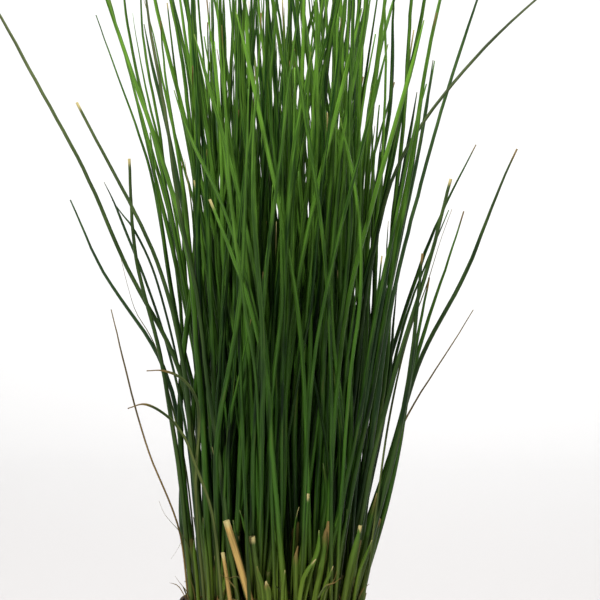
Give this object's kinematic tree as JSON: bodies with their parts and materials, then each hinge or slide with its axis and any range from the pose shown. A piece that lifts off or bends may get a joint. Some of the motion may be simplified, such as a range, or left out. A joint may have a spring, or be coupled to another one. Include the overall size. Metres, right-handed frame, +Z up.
{
  "type": "potted rush",
  "caption": "Dense clump of upright round green rush stems, with arching and dry stems and cut stubs, growing from dark soil in a plain round tapered pot",
  "frame": {"origin": "centre of the pot's flat underside", "axes": "+Z up along the clump, -Y towards the viewer of the picture, +X to that viewer's right"},
  "size_m": [0.2916, 0.2517, 0.4995],
  "materials": {
    "pot_plastic": "matte black injection-moulded plastic",
    "potting_soil": "rough dark peat and bark potting mix",
    "stem_green": "smooth satin living green stem, finely ribbed",
    "stem_dark_green": "smooth satin dark green stem",
    "stem_olive": "satin olive stem, drying towards its tip",
    "stem_straw": "matte dry straw-coloured stem",
    "stem_dry_brown": "matte dead brown leaf"
  },
  "bodies": {
    "root": {"pot": "pot_plastic", "soil": "potting_soil", "tuft_01": "stem_green", "tuft_02": "stem_green", "tuft_03": "stem_green", "tuft_04": "stem_green", "tuft_05": "stem_green", "tuft_06": "stem_green", "tuft_07": "stem_green", "tuft_08": "stem_green", "tuft_09": "stem_green", "tuft_10": "stem_green", "tuft_11": "stem_green", "tuft_12": "stem_green", "tuft_13": "stem_green", "tuft_14": "stem_green", "tuft_15": "stem_green", "tuft_16": "stem_green", "tuft_17": "stem_green", "tuft_18": "stem_green", "tuft_19": "stem_green", "tuft_20": "stem_green", "tuft_21": "stem_green", "tuft_22": "stem_green", "long_arching_stem_left": "stem_olive", "blunt_arching_stem_left": "stem_olive", "drooping_stem_left": "stem_dark_green", "thin_stem_left": "stem_green", "broad_stem_left": "stem_green", "upright_stem_left": "stem_green", "brownish_stem_left": "stem_olive", "short_stem_left": "stem_olive", "dry_wisp_left": "stem_straw", "long_arching_stem_right": "stem_olive", "tall_stem_right": "stem_dark_green", "arching_stem_right": "stem_green", "outer_arching_stem_right": "stem_olive", "blunt_stem_right": "stem_olive", "thin_stem_right": "stem_green", "dry_wisp_right": "stem_straw", "short_stem_right": "stem_green", "upright_stem_right": "stem_olive", "high_stem_right_front": "stem_green", "high_stem_right_back": "stem_green", "high_stem_right_inner": "stem_green", "bright_stem_front": "stem_green", "arching_stem_front": "stem_green", "arching_stem_back_left": "stem_green", "arching_stem_back": "stem_olive", "long_arching_stem_back": "stem_green", "straw_stub": "stem_straw", "olive_stub": "stem_olive", "green_stub": "stem_green", "orange_stub": "stem_straw", "light_stub": "stem_green", "flat_cut_stub_right": "stem_olive", "yellow_stub_left": "stem_straw", "level_dry_leaf": "stem_dry_brown", "curled_dry_leaf": "stem_dry_brown"}
  },
  "joints": []
}
